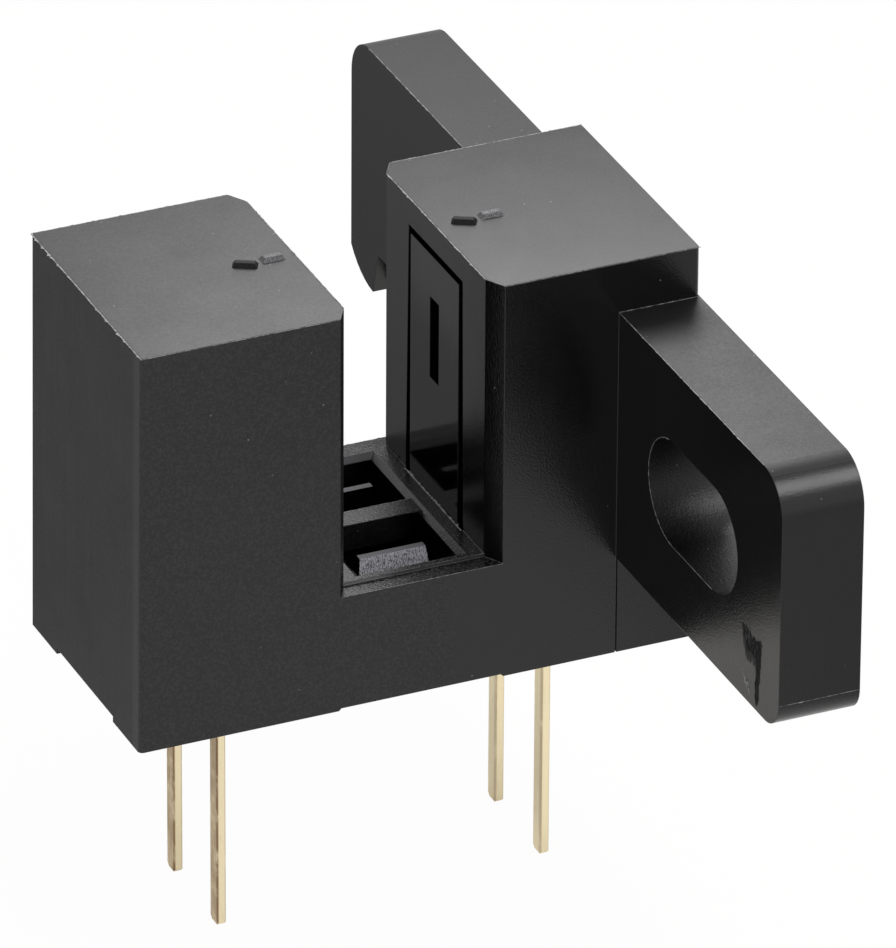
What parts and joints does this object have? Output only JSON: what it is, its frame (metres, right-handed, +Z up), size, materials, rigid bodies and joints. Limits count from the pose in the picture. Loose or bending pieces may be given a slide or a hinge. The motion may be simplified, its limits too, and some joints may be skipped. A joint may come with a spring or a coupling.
{
  "type": "slotted optical switch",
  "caption": "Black moulded U-shaped slotted optical switch: light slits face each other across the slot, with slotted side ears and straight flat leads for a circuit board.",
  "frame": {"origin": "on the board's surface, under the middle of the slot", "axes": "+X along the light beam from lamp to sensor, towards the ears' mounting face; +Y along the ears; +Z up from the board"},
  "size_m": [0.0135, 0.0236, 0.0159],
  "materials": {
    "cover_plastic": "satin black moulding",
    "holder_plastic": "glossy black moulding",
    "lamp_resin": "clear resin",
    "sensor_resin": "dark resin that passes infrared",
    "lead_metal": "pale gold plating",
    "chip": "bare semiconductor",
    "bond_wire": "bright gold"
  },
  "bodies": {
    "root": {"cover": "cover_plastic", "holder": "holder_plastic", "lamp_package": "lamp_resin", "sensor_package": "sensor_resin", "lamp_anode_lead": "lead_metal", "lamp_cathode_lead": "lead_metal", "sensor_collector_lead": "lead_metal", "sensor_emitter_lead": "lead_metal", "lamp_chip": "chip", "sensor_chip": "chip", "lamp_wire": "bond_wire", "sensor_wire": "bond_wire"}
  },
  "joints": []
}
